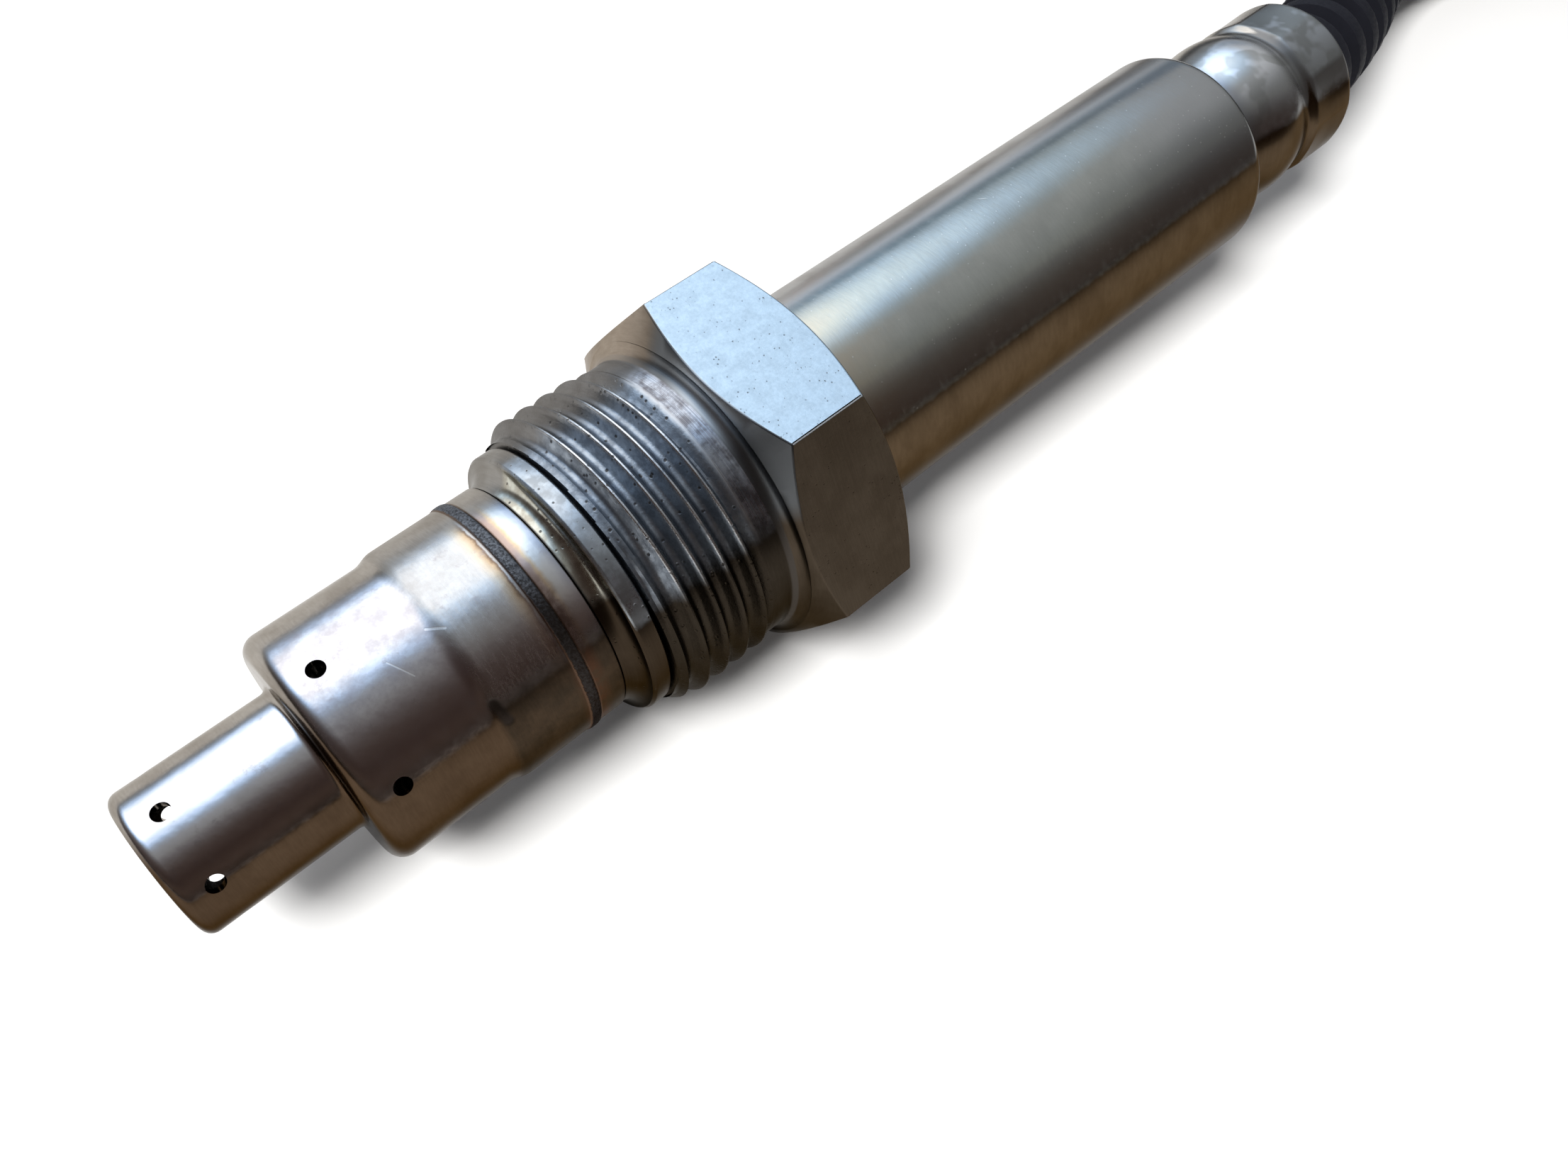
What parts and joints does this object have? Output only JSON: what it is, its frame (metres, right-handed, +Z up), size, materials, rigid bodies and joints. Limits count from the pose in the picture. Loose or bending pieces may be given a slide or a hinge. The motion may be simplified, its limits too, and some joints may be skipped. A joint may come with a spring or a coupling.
{
  "type": "oxygen sensor",
  "caption": "Exhaust gas probe with a stepped perforated tube, sealing collar, captive threaded nut, long sleeve, crimped cap and corrugated lead with a plug.",
  "frame": {"origin": "on the probe's axis, at the front edge of the sealing collar, where the probe seats in its boss", "axes": "+X along the probe's axis from the tip to the lead, +Z up as it lies on one flat of the nut"},
  "size_m": [0.2238, 0.1051, 0.022],
  "materials": {
    "tube_steel": "drawn and heat tinted near the weld",
    "inner_steel": "plain drawn",
    "housing_steel": "turned, satin band",
    "nut_steel": "blasted, worn thread",
    "sleeve_steel": "fine brushed",
    "cap_steel": "bright drawn",
    "element_ceramic": "fired, matt",
    "bush_ceramic": "fired, matt",
    "powder": "pressed powder",
    "contact_metal": "plated spring strip",
    "guide_plastic": "smooth",
    "grommet_rubber": "matt",
    "collar_rubber": "matt",
    "wire_white": "smooth insulation",
    "wire_grey": "smooth insulation",
    "wire_black": "smooth insulation",
    "conduit_plastic": "ribbed, slight sheen",
    "tie_plastic": "moulded",
    "plug_plastic": "moulded, fine grain",
    "lock_plastic": "moulded",
    "seal_rubber": "soft, matt"
  },
  "bodies": {
    "probe": {"outer_tube": "tube_steel", "inner_tube": "inner_steel", "housing": "housing_steel", "element": "element_ceramic", "front_bush": "bush_ceramic", "powder_ring": "powder", "rear_bush": "bush_ceramic", "seal_ring": "inner_steel", "sleeve": "sleeve_steel", "block_top": "bush_ceramic", "block_bottom": "bush_ceramic", "block_clip": "inner_steel", "contact_1": "contact_metal", "contact_2": "contact_metal", "contact_3": "contact_metal", "contact_4": "contact_metal", "wire_guide": "guide_plastic", "grommet": "grommet_rubber", "rear_cap": "cap_steel", "conduit_collar": "collar_rubber", "wire_1": "wire_white", "wire_2": "wire_white", "wire_3": "wire_grey", "wire_4": "wire_black", "conduit_lead": "conduit_plastic", "conduit_coil": "conduit_plastic", "conduit_tail": "conduit_plastic", "coil_tie": "tie_plastic", "plug_housing": "plug_plastic", "plug_latch": "plug_plastic", "plug_seal": "seal_rubber", "plug_lock": "lock_plastic", "plug_clamp": "plug_plastic", "socket_1": "contact_metal", "socket_2": "contact_metal", "socket_3": "contact_metal", "socket_4": "contact_metal"},
    "nut": {"gland_nut": "nut_steel"}
  },
  "joints": [
    {"name": "nut_spin", "type": "hinge", "parent": "probe", "child": "nut", "pos_m": [0.009, 0, 0], "axis": [1, 0, 0], "continuous": true}
  ]
}
